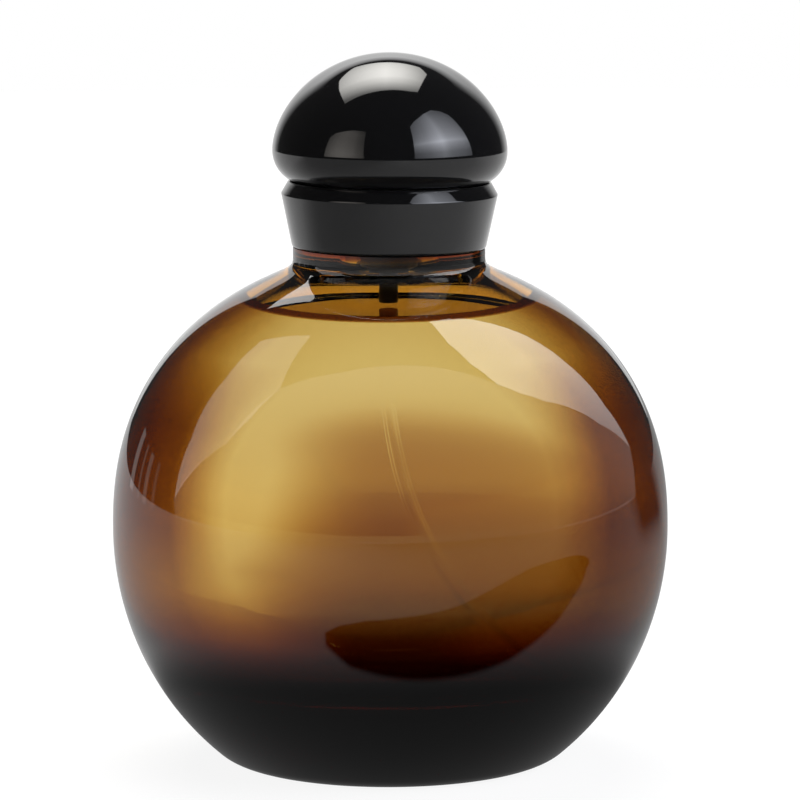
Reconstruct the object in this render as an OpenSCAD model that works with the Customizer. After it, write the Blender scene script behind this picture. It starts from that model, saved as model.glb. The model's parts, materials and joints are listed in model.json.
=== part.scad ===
// Round glass spray bottle for aftershave: crimped pump, flared collar and domed overcap.
// Millimetres, +Z up. The origin is at the centre of the base, on the surface it stands on.
// The globe stands upright. Its crimp finish leans slightly towards +X, as the blown neck did,
// and the pump, collar and cap stand square on that leaning finish.

/* [Globe] */
// Widest diameter of the glass
body_d = 76; // [66:0.5:90]
// Height of the widest part above the base
widest_z = 32.1; // [28:0.1:38]
// Half height of the ellipse that shapes the lower half
lower_h = 39.6; // [38:0.1:46]
// Half height of the superellipse that shapes the shoulders
upper_h = 37.6; // [34:0.1:42]
// Power of the shoulder superellipse: 2 is an ellipse, more is squarer
shoulder_power = 2.27; // [2:0.01:2.6]
// Radius of the heel between side and base
heel_r = 6.2; // [3:0.1:9]
// Lean of the neck's finish against the upright globe, in degrees
lean = 0.8; // [0:0.1:1.5]
// Diameter of the hollow under the base
punt_d = 31; // [20:0.5:34]
// Depth of the hollow under the base
punt_h = 1.0; // [0.4:0.1:2]

/* [Glass wall] */
// Wall thickness at the widest part
wall = 5.2; // [3:0.1:6]
// Wall thickness at the crown of the shoulders
crown_wall = 4.0; // [2.5:0.1:4.5]
// Thickness of the base
floor_t = 13; // [6:0.1:15]
// Radius of the corner inside the base
floor_corner_r = 11; // [6:0.1:14]

/* [Neck and finish] */
// Height of the neck's top ring, on which the collar stands
neck_z = 70.45; // [70.1:0.05:74]
// Radius of the neck's top ring
neck_r = 13.1; // [12.2:0.05:13.4]
// Radius of the bead that the ferrule is crimped on
bead_r = 7.5; // [7.2:0.05:7.8]
// Radius of the throat below the bead
throat_r = 6.3; // [5.8:0.05:6.6]
// Height of the underside of the bead above the neck ring
bead_low = 3.2; // [2.8:0.05:3.6]
// Height of the finish above the neck ring
finish_h = 6.6; // [6.2:0.05:7]
// Radius of the bore through the neck
bore_r = 4.5; // [4.2:0.05:4.8]
// How far the bore runs down past the top of the cavity
bore_run = 1.25; // [0.8:0.05:2]

/* [Fill] */
// Height of the liquid's surface above the base
fill_z = 61.0; // [40:0.1:64.4]

/* [Dip tube] */
// Outer radius of the dip tube
tube_r = 0.75; // [0.6:0.05:0.9]
// Inner radius of the dip tube
tube_bore_r = 0.45; // [0.3:0.05:0.5]
// Bend radius of the tube's curl
tube_bend_r = 40; // [34:0.5:45]
// Angle that the curl turns through
tube_turn = 52; // [44:1:54]
// How far the tube's end lies from its straight top
tube_reach = 18.8; // [17.5:0.1:20]
// Gap between the tube's end and the floor of the glass
tube_foot_gap = 0.8; // [0.4:0.1:2]

/* [Pump] */
// Travel of the pump
stroke = 3.6; // [2.4:0.1:3.8]
// Radius of the pump chamber
chamber_r = 2.9; // [2.8:0.05:3]
// Wall of the pump chamber
chamber_wall = 1.0; // [0.8:0.05:1.2]
// Radius of the stem
stem_r = 1.55; // [1.4:0.05:1.6]
// Radius of the channel in the stem
stem_bore_r = 0.6; // [0.4:0.05:0.7]
// Height of the piston
piston_h = 2.6; // [2.2:0.1:3]
// Thickness of the stem's foot, which the spring pushes on
foot_t = 0.5; // [0.4:0.05:0.7]
// Length of the spring at rest
spring_len = 6.2; // [5.8:0.1:7]
// Middle radius of the spring's coil
spring_r = 2.1; // [2:0.05:2.2]
// Radius of the spring's wire
wire_r = 0.18; // [0.15:0.01:0.2]
// Number of turns of the spring
spring_turns = 6; // [4:1:6]
// Radius of the valve ball
ball_r = 1.0; // [0.9:0.05:1.1]
// Lift of the valve ball off its seat
ball_lift = 0.8; // [0.4:0.1:0.9]
// Radius of the nipple that holds the dip tube
nipple_r = 1.3; // [1.2:0.05:1.5]
// Length of the nipple
nipple_len = 4.3; // [4:0.1:5]
// Depth of the dip tube in the nipple
tube_grip = 3.6; // [3:0.1:3.8]
// Radius of the inlet under the ball
inlet_r = 0.45; // [0.3:0.05:0.5]
// Clearance of the ball in its cage
cage_gap = 0.35; // [0.2:0.05:0.45]
// Depth of the ball's cage below the spring
cage_depth = 2.0; // [1.8:0.1:2.4]
// Wall round the ball's cage
cage_wall = 1.4; // [1:0.05:1.5]
// Thickness of the housing's end below the ball's seat
end_t = 0.4; // [0.3:0.05:0.6]
// Gap between the piston and the stem gasket at rest
stop_gap = 0.1; // [0.05:0.05:0.2]
// Height of the piston's sealing lips
lip_land = 0.6; // [0.5:0.05:0.7]
// Depth of the piston's waist
waist = 0.36; // [0.25:0.01:0.45]

/* [Ferrule and gaskets] */
// Thickness of the aluminium ferrule
ferrule_t = 0.4; // [0.3:0.05:0.5]
// Thickness of the gasket between glass and pump
neck_gasket_t = 0.8; // [0.6:0.05:1]
// Thickness of the pump's flange
flange_t = 1.0; // [0.8:0.05:1.2]
// Height of the turret above the flange
turret_h = 2.6; // [2.4:0.05:2.8]
// Thickness of the gasket around the stem
stem_gasket_t = 0.7; // [0.6:0.05:0.8]
// Thickness of the stem guide's flange
guide_flange_t = 0.6; // [0.5:0.05:0.7]
// Length of the guide's plug in the housing
guide_plug_h = 1.7; // [1.5:0.05:1.8]
// Width of the guide's flange beyond the housing's bore
rim_wall = 0.9; // [0.8:0.05:1]
// Gap between the bead and the ferrule's crimped lip
lip_gap = 0.1; // [0.05:0.05:0.2]

/* [Actuator] */
// Radius of the actuator button
button_r = 6.2; // [5.6:0.05:6.4]
// Height of the actuator button
button_h = 9.8; // [9.4:0.1:10.2]
// Radius of the nozzle insert
nozzle_r = 2.0; // [1.6:0.05:2.2]
// Length of the nozzle insert
nozzle_len = 2.6; // [2:0.1:3]
// How far the nozzle insert stands out of the button
nozzle_out = 0.25; // [0.1:0.05:0.4]
// Depth of the stem in the button's boss
stem_grip = 3.8; // [3.4:0.1:4]
// Wall of the button's boss
boss_wall = 1.35; // [1:0.05:1.5]
// Clearance left under the button and its boss at full stroke
press_clear = 0.2; // [0.15:0.05:0.3]
// Gap between the turret and the button's skirt
skirt_gap = 0.45; // [0.3:0.05:0.55]

/* [Collar] */
// Radius of the collar at its foot
collar_low_r = 13.2; // [13:0.05:13.6]
// Radius of the collar at its widest edge
collar_wide_r = 14.75; // [14.2:0.05:15.5]
// Height of the widest edge above the neck ring
collar_edge_h = 7.35; // [6.8:0.05:7.8]
// Radius of the collar's top
collar_top_r = 13.8; // [13.4:0.05:14.1]
// Height of the collar
collar_h = 9.0; // [9:0.05:9.4]
// Wall of the collar
collar_wall = 1.2; // [1:0.05:1.4]
// Radius of the spigot that the cap grips
spigot_r = 9.3; // [9.2:0.05:9.6]
// Height of the spigot above the collar
spigot_h = 4.0; // [3:0.1:5]
// Thickness of the collar's deck
deck_t = 1.2; // [1:0.05:1.3]
// Thickness of the sleeve's flange under the deck
sleeve_flange_t = 1.0; // [0.8:0.05:1.2]
// How far the sleeve hangs below the bead
sleeve_hang = 0.8; // [0.5:0.05:1]
// Thickness of the stop that rests on the ferrule
stop_t = 0.8; // [0.6:0.05:1]
// Gap between the button and the sleeve's stop
stop_clear = 0.8; // [0.5:0.05:0.9]

/* [Cap] */
// Widest radius of the dome
cap_r = 16.0; // [15:0.1:17.5]
// Height of the widest part above the cap's lip
cap_wide_h = 4.05; // [3.9:0.05:4.4]
// Height of the dome above its widest part
cap_dome_h = 13.3; // [12.8:0.1:16]
// Power of the dome's superellipse: 2 is an ellipse, less is more pointed
cap_power = 1.8; // [1.7:0.01:2]
// Radius of the undercut below the widest part
cap_under_r = 4.6; // [4.5:0.05:5]
// Wall of the dome
cap_wall = 1.5; // [1.2:0.05:1.8]
// Thickness of the liner's tube
liner_t = 1.1; // [0.9:0.05:1.3]
// Thickness of the liner's flange
liner_flange_t = 0.9; // [0.7:0.05:1.1]
// Depth of the liner inside the cap's lip
liner_inset = 0.2; // [0.1:0.05:0.4]
// Clearance of the liner on the spigot, which lets the cap slide
cap_fit = 0.07; // [0.04:0.01:0.09]

/* [Fits] */
// Gap between the cap's lip and the collar
cap_gap = 0.12; // [0.1:0.01:0.2]
// Radial clearance of parts that slide or turn on each other
running_fit = 0.04; // [0.02:0.01:0.06]
// Clearance of parts that are pressed or dropped together
seat_fit = 0.05; // [0.03:0.01:0.08]
// Clearance of the ferrule round the glass bead
crimp_fit = 0.16; // [0.14:0.01:0.2]

/* [Hidden] */
$fn = 96;

// Globe
body_r = body_d / 2;
neck_soft = 12;
cavity_soft = 6;
heel_steps = 8;
side_steps = 14;
shoulder_steps = 26;
inner_r = body_r - wall;
cavity_neck_r = bore_r - 1.5;
cavity_top = widest_z + upper_h - crown_wall;
bore_depth = neck_z - cavity_top + bore_run;
cut_size = 3 * body_d;
over = 0.5;
tube_steps = 14;
tube_sides = 12;

// Heights above the neck ring, from the finish up to the turret
gasket_top = finish_h + neck_gasket_t;
flange_top = gasket_top + flange_t;
ferrule_top = flange_top + ferrule_t;
turret_in = flange_top + turret_h;
turret_top = turret_in + ferrule_t;
crimp_low = bead_low - lip_gap;
rim_top = turret_in - guide_flange_t;
guide_low = rim_top - guide_plug_h;
chamber_top = guide_low - stem_gasket_t;

// Heights of the moving stack, from the top of the chamber down to the nipple
piston_top = chamber_top - stop_gap;
piston_low = piston_top - piston_h;
foot_low = piston_low - foot_t;
ledge = foot_low - spring_len;
cage_r = ball_r + cage_gap;
cage_low = ledge - cage_depth;
seat_low = cage_low - (cage_r - inlet_r);
body_low = seat_low - end_t;
nipple_low = body_low - nipple_len;
grip_top = nipple_low + tube_grip;
ball_h = seat_low - inlet_r + ball_r * sqrt(2) + running_fit;
cone_top = ledge - 0.5 * cage_wall;
cone_low = cone_top - 0.5 * cage_wall;

// Radii of the pump
chamber_out = chamber_r + chamber_wall;
cage_out = cage_r + cage_wall;
flange_r = bead_r - seat_fit;
rim_bore = chamber_r + 0.5 * chamber_wall;
rim_r = rim_bore + rim_wall;
turret_in_r = rim_r + seat_fit;
turret_r = turret_in_r + ferrule_t;
foot_r = spring_r + 2 * wire_r;
ferrule_in = bead_r + crimp_fit;
ferrule_r = ferrule_in + ferrule_t;
turret_hole = stem_r + chamber_wall * 0.65;
housing_hole = chamber_out + seat_fit;
guide_r = rim_bore - seat_fit;
stem_hole = stem_r + running_fit;
tube_hole = tube_r + running_fit;
port_r = stem_bore_r * 0.6;

// Dip tube: the straight top and the tail that bring its end to the floor
foot_h = floor_t + tube_foot_gap + tube_r * sin(tube_turn) + tube_reach * tan(lean) - neck_z;
tube_tail = (tube_reach - tube_bend_r * (1 - cos(tube_turn))) / sin(tube_turn);
bend_low = foot_h + tube_tail * cos(tube_turn);
bend_h = bend_low + tube_bend_r * sin(tube_turn);

// Actuator
button_low = ferrule_top + stroke + press_clear;
button_top = button_low + button_h;
boss_low = turret_top + stroke + press_clear;
skirt_r = turret_r + skirt_gap;
boss_r = stem_r + boss_wall;
stem_top = boss_low + stem_grip;
nozzle_h = stem_top + nozzle_r * 0.5;
nozzle_low = button_r - nozzle_len + nozzle_out;

// Collar
sleeve_in = ferrule_r + seat_fit;
sleeve_low = bead_low - sleeve_hang;
deck_low = collar_h - deck_t;
deck_hole = spigot_r + seat_fit;
collar_in = collar_low_r - collar_wall;
stop_in = button_r + stop_clear;
spigot_top = collar_h + spigot_h;

// Cap
lip_h = collar_h + cap_gap;
cap_wide = lip_h + cap_wide_h;
cap_mid_r = cap_r - cap_under_r;
cap_turn = asin(cap_wide_h / cap_under_r);
cap_in_under = cap_under_r - cap_wall;
cap_in_r = cap_r - cap_wall;
cap_in_h = cap_dome_h - cap_wall;
lip_in = cap_mid_r + cap_in_under * cos(cap_turn) - 0.15 * cap_wall;
liner_in = spigot_r + cap_fit;
liner_r = liner_in + liner_t;
liner_low = lip_h + liner_inset;
liner_flange_top = liner_low + liner_flange_t;
liner_top = dome_in_at(liner_r) - seat_fit;
flange_out = lip_in - seat_fit;
dome_steps = 22;
under_steps = 8;

AMBER = [0.62, 0.36, 0.10, 0.55];
LIQUID = [0.80, 0.62, 0.25, 0.5];
GLOSS_BLACK = [0.06, 0.06, 0.07];
ALUMINIUM = [0.80, 0.80, 0.82];
STEEL = [0.66, 0.67, 0.70];
NATURAL_PP = [0.90, 0.90, 0.87];
RUBBER = [0.16, 0.16, 0.17];

function reversed(list) = [for (i = [len(list) - 1 : -1 : 0]) list[i]];

// Larger of two radii, with a soft corner where they meet
function soft_max(a, b, power) = pow(pow(a, power) + pow(b, power), 1 / power);

// A corner b between points a and c, rounded by the radius b[2]
function corner(a, b, c) =
    b[2] == 0 ? [[b[0], b[1]]] :
    let (p = [b[0], b[1]],
         u = [a[0] - b[0], a[1] - b[1]] / norm([a[0] - b[0], a[1] - b[1]]),
         v = [c[0] - b[0], c[1] - b[1]] / norm([c[0] - b[0], c[1] - b[1]]),
         half = acos(u * v) / 2,
         m = p + (u + v) / norm(u + v) * b[2] / sin(half),
         s = p + u * b[2] / tan(half) - m,
         e = p + v * b[2] / tan(half) - m,
         from = atan2(s[1], s[0]),
         turn = (atan2(e[1], e[0]) - from + 540) % 360 - 180)
    [for (i = [0 : 4]) m + b[2] * [cos(from + turn * i / 4), sin(from + turn * i / 4)]];

// A closed outline from corners [radius, height, rounding]
function rounded(pts) = [for (i = [0 : len(pts) - 1])
    each corner(pts[(i + len(pts) - 1) % len(pts)], pts[i], pts[(i + 1) % len(pts)])];

// Lower half of the globe: point and outward normal on its ellipse, t degrees below the widest part
function side_point(a, b, t) = [a * cos(t), widest_z - b * sin(t)];
function side_normal(a, b, t) = [b * cos(t), -a * sin(t)] / norm([b * cos(t), -a * sin(t)]);

// Where a heel of radius r on the plane at height z leaves the side, found by halving
function heel_angle(a, b, r, z, lo = 0, hi = 90, steps = 26) =
    steps == 0 ? lo :
    let (mid = (lo + hi) / 2, c = side_point(a, b, mid) - r * side_normal(a, b, mid))
    c[1] > z + r ? heel_angle(a, b, r, z, mid, hi, steps - 1) : heel_angle(a, b, r, z, lo, mid, steps - 1);

function lower_outline(a, b, r, z) =
    let (t = heel_angle(a, b, r, z), n = side_normal(a, b, t),
         c = [side_point(a, b, t)[0] - r * n[0], z + r], turn = atan2(n[1], n[0]) + 90)
    concat([[0, z]],
        [for (i = [0 : heel_steps]) c + r * [cos(turn * i / heel_steps - 90), sin(turn * i / heel_steps - 90)]],
        [for (i = [1 : side_steps]) side_point(a, b, t * (1 - i / side_steps))]);

function upper_outline(a, b, neck, soft) = [for (i = [1 : shoulder_steps])
    let (u = sin(90 * i / shoulder_steps))
    [soft_max(a * sqrt(1 - pow(u, shoulder_power)), neck, soft), widest_z + b * u]];

// The inside of the glass, shrunk by a gap
function cavity_outline(gap) = concat(
    lower_outline(inner_r - gap, lower_h - wall - gap, floor_corner_r - gap, floor_t + gap),
    upper_outline(inner_r - gap, upper_h - crown_wall - gap, cavity_neck_r - gap, cavity_soft),
    [[0, cavity_top - gap]]);

// Dome of the cap from its lip to its top; w is the widest radius, u the undercut, h the height
function dome_outline(w, u, h) = concat(
    [for (i = [0 : under_steps]) let (q = cap_turn * (i / under_steps - 1))
        [cap_mid_r + u * cos(q), cap_wide + u * sin(q)]],
    [for (i = [1 : dome_steps]) let (s = sin(90 * i / dome_steps))
        [w * sqrt(1 - pow(s, cap_power)), cap_wide + h * s]]);

// Height of the dome's inner face at radius r
function dome_in_at(r) = cap_wide + cap_in_h * pow(1 - pow(r / cap_in_r, 2), 1 / cap_power);

module on_neck() translate([0, 0, neck_z]) rotate([0, lean, 0]) children();

// Faces of a rod of rings 0 to last, each with the same number of points
function rod_faces(last, sides) = concat(
    [[for (j = [sides - 1 : -1 : 0]) j]],
    [for (i = [0 : last - 1]) for (j = [0 : sides - 1]) let (k = (j + 1) % sides)
        each [[i * sides + j, i * sides + k, (i + 1) * sides + k],
              [i * sides + j, (i + 1) * sides + k, (i + 1) * sides + j]]],
    [[for (j = [0 : sides - 1]) last * sides + j]]);

module above(z) translate([-cut_size / 2, -cut_size / 2, z]) cube(cut_size);

module turned(pts) rotate_extrude() polygon(rounded(pts));

// The globe up to its neck, which the plane of the neck ring cuts off square to the finish
module globe() difference() {
    rotate_extrude() polygon(concat(
        lower_outline(body_r, lower_h, heel_r, 0),
        upper_outline(body_r, upper_h, neck_r, neck_soft),
        [[neck_r, neck_z + over], [0, neck_z + over]]));
    on_neck() above(0);
}

module glass_bottle() color(AMBER) difference() {
    union() {
        globe();
        on_neck() turned([
            [0, -over, 0], [throat_r, -over, 0], [throat_r, bead_low, 0.3], [bead_r, bead_low, 0.6],
            [bead_r, finish_h, 0.7], [0, finish_h, 0]]);
    }
    rotate_extrude() polygon(cavity_outline(0));
    on_neck() translate([0, 0, -bore_depth]) cylinder(r = bore_r, h = finish_h + bore_depth + over);
    translate([0, 0, -over]) cylinder(r1 = punt_d / 2 + over, r2 = punt_d / 2 - punt_h, h = punt_h + over);
}

module liquid_fill() color(LIQUID) difference() {
    rotate_extrude() polygon(cavity_outline(seat_fit));
    above(fill_z);
    on_neck() {
        tube_rod(tube_r + seat_fit, over, seat_fit);
        translate([0, 0, nipple_low - seat_fit]) cylinder(r = nipple_r + seat_fit, h = 2 * nipple_len);
    }
}

module neck_gasket() color(RUBBER) on_neck() turned([
    [housing_hole, finish_h, 0], [flange_r, finish_h, 0],
    [flange_r, gasket_top, 0], [housing_hole, gasket_top, 0]]);

module crimp_ferrule() color(ALUMINIUM) on_neck() turned([
    [throat_r + crimp_fit, crimp_low - ferrule_t, 0], [ferrule_r, crimp_low - ferrule_t, 0.35],
    [ferrule_r, ferrule_top, 0.4], [turret_r, ferrule_top, 0], [turret_r, turret_top, 0.4],
    [turret_hole, turret_top, 0], [turret_hole, turret_in, 0], [turret_in_r, turret_in, 0],
    [turret_in_r, flange_top, 0], [ferrule_in, flange_top, 0], [ferrule_in, crimp_low, 0],
    [throat_r + crimp_fit, crimp_low, 0]]);

module pump_housing() color(NATURAL_PP) on_neck() turned([
    [tube_hole, nipple_low, 0], [nipple_r, nipple_low, 0.2], [nipple_r, body_low, 0],
    [cage_out, body_low, 0.3], [cage_out, cone_low, 0], [chamber_out, cone_top, 0],
    [chamber_out, gasket_top, 0], [flange_r, gasket_top, 0], [flange_r, flange_top, 0],
    [rim_r, flange_top, 0], [rim_r, rim_top, 0], [rim_bore, rim_top, 0], [rim_bore, chamber_top, 0],
    [chamber_r, chamber_top, 0], [chamber_r, ledge, 0], [cage_r, ledge, 0], [cage_r, cage_low, 0],
    [inlet_r, seat_low, 0], [inlet_r, grip_top, 0], [tube_hole, grip_top, 0]]);

// The dip tube's path in the neck's frame, as [x, height, turn]: straight down, a curl towards +X
// and a straight tail, lengthened by top and toe at its ends
function tube_stations(top, toe) = concat(
    [[0, grip_top + top, 0]],
    [for (i = [0 : tube_steps]) let (q = tube_turn * i / tube_steps)
        [tube_bend_r * (1 - cos(q)), bend_h - tube_bend_r * sin(q), q]],
    [[tube_reach + toe * sin(tube_turn), foot_h - toe * cos(tube_turn), tube_turn]]);

// A round rod of radius r along those stations
module tube_rod(r, top = 0, toe = 0) polyhedron(
    points = [for (p = tube_stations(top, toe)) for (j = [0 : tube_sides - 1])
        let (s = 360 * j / tube_sides)
        [p[0] + r * cos(s) * cos(p[2]), r * sin(s), p[1] + r * cos(s) * sin(p[2])]],
    faces = rod_faces(tube_steps + 2, tube_sides));

module dip_tube() color(NATURAL_PP) on_neck() difference() {
    tube_rod(tube_r);
    tube_rod(tube_bore_r, over, over);
}

module valve_ball() color(STEEL) on_neck() translate([0, 0, ball_h]) sphere(r = ball_r);

module return_spring() color(STEEL) on_neck() {
    steps = 14 * spring_turns;
    sides = 6;
    low = ledge + wire_r;
    rise = spring_len - 2 * wire_r;
    polyhedron(
        points = [for (i = [0 : steps]) let (q = 360 * spring_turns * i / steps)
            for (j = [0 : sides - 1]) let (s = 360 * j / sides, r = spring_r + wire_r * cos(s))
                [r * cos(q), r * sin(q), low + rise * i / steps + wire_r * sin(s)]],
        faces = [for (f = rod_faces(steps, sides)) reversed(f)]);
}

module piston() color(RUBBER) on_neck() {
    seal_r = chamber_r - running_fit;
    turned([
        [stem_r, piston_low, 0], [seal_r, piston_low, 0.1], [seal_r, piston_low + lip_land, 0.1],
        [seal_r - waist, piston_low + lip_land + waist, 0.1],
        [seal_r - waist, piston_top - lip_land - waist, 0.1],
        [seal_r, piston_top - lip_land, 0.1], [seal_r, piston_top, 0.1], [stem_r, piston_top, 0]]);
}

module pump_stem() color(NATURAL_PP) on_neck() difference() {
    turned([
        [0, foot_low, 0], [foot_r, foot_low, 0], [foot_r, piston_low, 0], [stem_r, piston_low, 0],
        [stem_r, stem_top, 0.2], [stem_bore_r, stem_top, 0], [stem_bore_r, piston_low + lip_land, 0],
        [0, piston_low + lip_land, 0]]);
    translate([-chamber_r, 0, piston_low + piston_h / 2])
        rotate([0, 90, 0]) cylinder(r = port_r, h = 2 * chamber_r);
}

module stem_gasket() color(RUBBER) on_neck() turned([
    [stem_hole, chamber_top, 0], [guide_r, chamber_top, 0],
    [guide_r, guide_low, 0], [stem_hole, guide_low, 0]]);

module stem_guide() color(NATURAL_PP) on_neck() turned([
    [stem_hole, guide_low, 0], [guide_r, guide_low, 0.15], [guide_r, rim_top, 0],
    [rim_r, rim_top, 0], [rim_r, turret_in, 0], [stem_hole, turret_in, 0]]);

module collar_sleeve() color(NATURAL_PP) on_neck() turned([
    [sleeve_in, sleeve_low, 0.3], [spigot_r, sleeve_low, 0], [spigot_r, deck_low - sleeve_flange_t, 0],
    [collar_in, deck_low - sleeve_flange_t, 0], [collar_in, deck_low, 0],
    [spigot_r, deck_low, 0], [spigot_r, spigot_top, 0.3], [sleeve_in, spigot_top, 0.3],
    [sleeve_in, ferrule_top + stop_t, 0], [stop_in, ferrule_top + stop_t, 0],
    [stop_in, ferrule_top, 0], [sleeve_in, ferrule_top, 0]]);

module collar_shell() color(GLOSS_BLACK) on_neck() turned([
    [collar_low_r, 0, 0.5], [collar_wide_r, collar_edge_h, 0.45], [collar_top_r, collar_h, 0.3],
    [deck_hole, collar_h, 0.2], [deck_hole, deck_low, 0], [collar_wide_r - 1.3 * collar_wall, deck_low, 0.4],
    [collar_in, 0, 0.3]]);

module actuator_button() color(GLOSS_BLACK) on_neck() difference() {
    ceiling = boss_low + press_clear;
    turned([
        [0, boss_low, 0], [boss_r, boss_low, 0], [boss_r, ceiling, 0], [skirt_r, ceiling, 0],
        [skirt_r, button_low, 0.15], [button_r, button_low, 0.15], [button_r, button_top, 1.0],
        [button_r * 0.75, button_top, 0.6], [0, button_top - 0.7, 0]]);
    translate([0, 0, boss_low - over]) cylinder(r = stem_hole, h = stem_grip + running_fit + over);
    translate([0, 0, stem_top]) cylinder(r = stem_bore_r, h = nozzle_h - stem_top);
    translate([0, 0, nozzle_h]) rotate([90, 0, 0]) {
        cylinder(r = stem_bore_r, h = button_r);
        translate([0, 0, nozzle_low]) cylinder(r = nozzle_r, h = button_r);
    }
}

module nozzle_insert() color(GLOSS_BLACK) on_neck()
    translate([0, 0, nozzle_h]) rotate([90, 0, 0]) translate([0, 0, nozzle_low]) turned([
        [nozzle_r * 0.45, 0, 0], [nozzle_r, 0, 0], [nozzle_r, nozzle_len, 0.2],
        [nozzle_r * 0.35, nozzle_len, 0.1], [nozzle_r * 0.1, nozzle_len - 0.5, 0],
        [nozzle_r * 0.1, nozzle_len - 0.9, 0], [nozzle_r * 0.45, nozzle_len - 0.9, 0]]);

module cap_shell() color(GLOSS_BLACK) on_neck() rotate_extrude() polygon(concat(
    dome_outline(cap_r, cap_under_r, cap_dome_h),
    reversed(dome_outline(cap_in_r, cap_in_under, cap_in_h)),
    [[lip_in, lip_h]]));

module cap_liner() color(NATURAL_PP) on_neck() turned([
    [liner_in, liner_low, 0.2], [flange_out, liner_low, 0.2], [flange_out, liner_flange_top, 0],
    [liner_r, liner_flange_top, 0.3], [liner_r, liner_top, 0], [liner_in, liner_top, 0.3]]);

glass_bottle();
liquid_fill();
neck_gasket();
crimp_ferrule();
pump_housing();
dip_tube();
valve_ball();
return_spring();
piston();
pump_stem();
stem_gasket();
stem_guide();
collar_sleeve();
collar_shell();
actuator_button();
nozzle_insert();
cap_shell();
cap_liner();
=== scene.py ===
"""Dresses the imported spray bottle: smooth glass, liquid, pump, collar and cap, and the studio round them."""

import json
import math

import bmesh
import bpy
from mathutils import Matrix, Vector


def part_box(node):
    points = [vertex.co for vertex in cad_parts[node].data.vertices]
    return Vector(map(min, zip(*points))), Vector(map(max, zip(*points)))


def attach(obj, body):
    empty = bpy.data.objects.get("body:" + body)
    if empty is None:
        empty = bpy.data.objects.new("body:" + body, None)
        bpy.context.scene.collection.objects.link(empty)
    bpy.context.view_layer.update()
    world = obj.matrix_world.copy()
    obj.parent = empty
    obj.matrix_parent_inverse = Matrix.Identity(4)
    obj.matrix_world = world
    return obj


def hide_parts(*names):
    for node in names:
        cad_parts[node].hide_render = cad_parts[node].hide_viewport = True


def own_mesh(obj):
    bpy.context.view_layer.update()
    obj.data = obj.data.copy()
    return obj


bl_info = {
    "name": "Spray Bottle Dresser",
    "version": (1, 0, 0),
    "blender": (4, 5, 0),
    "location": "3D View > Sidebar > Bottle",
    "description": "Builds the glass, closure and studio of a round spray bottle round its packed frame",
    "category": "Object",
}

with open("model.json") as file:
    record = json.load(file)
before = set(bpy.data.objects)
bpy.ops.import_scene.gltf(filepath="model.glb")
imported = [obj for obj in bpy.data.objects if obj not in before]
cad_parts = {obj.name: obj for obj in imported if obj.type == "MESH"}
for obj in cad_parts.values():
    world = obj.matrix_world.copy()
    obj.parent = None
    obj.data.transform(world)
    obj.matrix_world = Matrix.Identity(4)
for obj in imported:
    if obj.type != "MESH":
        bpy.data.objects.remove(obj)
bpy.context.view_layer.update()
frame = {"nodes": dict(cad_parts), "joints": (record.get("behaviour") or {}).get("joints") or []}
MM = 0.001
MICRON = 0.001 * MM

# The closure's own frame: its origin is the middle of the glass neck ring, and its axis leans as
# the blown neck does. The actuator turns about that axis, so its joint gives both.
TURN = next(joint for joint in frame["joints"] if joint["name"] == "actuator_turn")
NECK = Vector(TURN["pos_m"])
AXIS = Vector(TURN["axis"]).normalized()
ON_NECK = Matrix.Translation(NECK) @ Vector((0, 0, 1)).rotation_difference(AXIS).to_matrix().to_4x4()
OFF_NECK = ON_NECK.inverted()


def neck_span(node):
    """Lowest and highest point of a node along the closure's axis, above the neck ring."""
    heights = [(OFF_NECK @ v.co).z for v in frame["nodes"][node].data.vertices]
    return min(heights), max(heights)


def neck_radius(node):
    """Largest radius of a node round the closure's axis."""
    return max((OFF_NECK @ v.co).xy.length for v in frame["nodes"][node].data.vertices)


GLASS_LOW, GLASS_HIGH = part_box("glass_bottle")
LIP_LOW, CAP_HIGH = neck_span("cap_shell")


# Colours and materials ---------------------------------------------------------------------


def linear(hex_colour):
    """Linear RGBA of an sRGB hex colour such as "c8a050"."""
    channels = [int(hex_colour[i:i + 2], 16) / 255 for i in (0, 2, 4)]
    return [c / 12.92 if c <= 0.04045 else ((c + 0.055) / 1.055) ** 2.4 for c in channels] + [1.0]


def add(tree, kind, settings=None, **links):
    """Adds a shader node. Settings are its own properties, and links fill its inputs."""
    node = tree.nodes.new(kind)
    for name, value in (settings or {}).items():
        setattr(node, name, value)
    for name, value in links.items():
        key = int(name[1:]) if name[0] == "_" and name[1:].isdigit() else name.replace("_", " ")
        if isinstance(value, bpy.types.NodeSocket):
            tree.links.new(value, node.inputs[key])
        else:
            node.inputs[key].default_value = value
    return node


def new_material(name):
    """An empty material: its tree, its Principled shader and its Object coordinates."""
    material = bpy.data.materials.new(name)
    material.use_nodes = True
    tree = material.node_tree
    shader = next(n for n in tree.nodes if n.type == "BSDF_PRINCIPLED")
    place = add(tree, "ShaderNodeTexCoord").outputs["Object"]
    return material, tree, shader, place


def fill(shader, **values):
    """Sets sockets of a shader to plain values."""
    for name, value in values.items():
        shader.inputs[name.replace("_", " ")].default_value = value


# How fast red, green and blue die away in the painted brown shade of the glass, the liquid, the floor and the
# room seen through glass
SHADE_BROWN = (1.0, 1.65, 3.0)

# Settings that many nodes share
SOFT = {"interpolation_type": "SMOOTHSTEP"}
PLUS = {"operation": "ADD"}
TIMES = {"operation": "MULTIPLY"}


def levels(tree, value, low, high, full, *stops):
    """A curve through stops of [share of the span from low to high, level], levels up to full."""
    share = add(tree, "ShaderNodeMapRange", _0=value, _1=low, _2=high).outputs[0]
    node = add(tree, "ShaderNodeValToRGB", Fac=share)
    marks = node.color_ramp.elements
    while len(marks) < len(stops):
        marks.new(1.0)
    for mark, (at, level) in zip(marks, stops):
        mark.position = at
        mark.color = [level / full] * 3 + [1.0]
    return add(tree, "ShaderNodeMath", TIMES, _0=node.outputs["Color"], _1=full).outputs[0]


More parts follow.
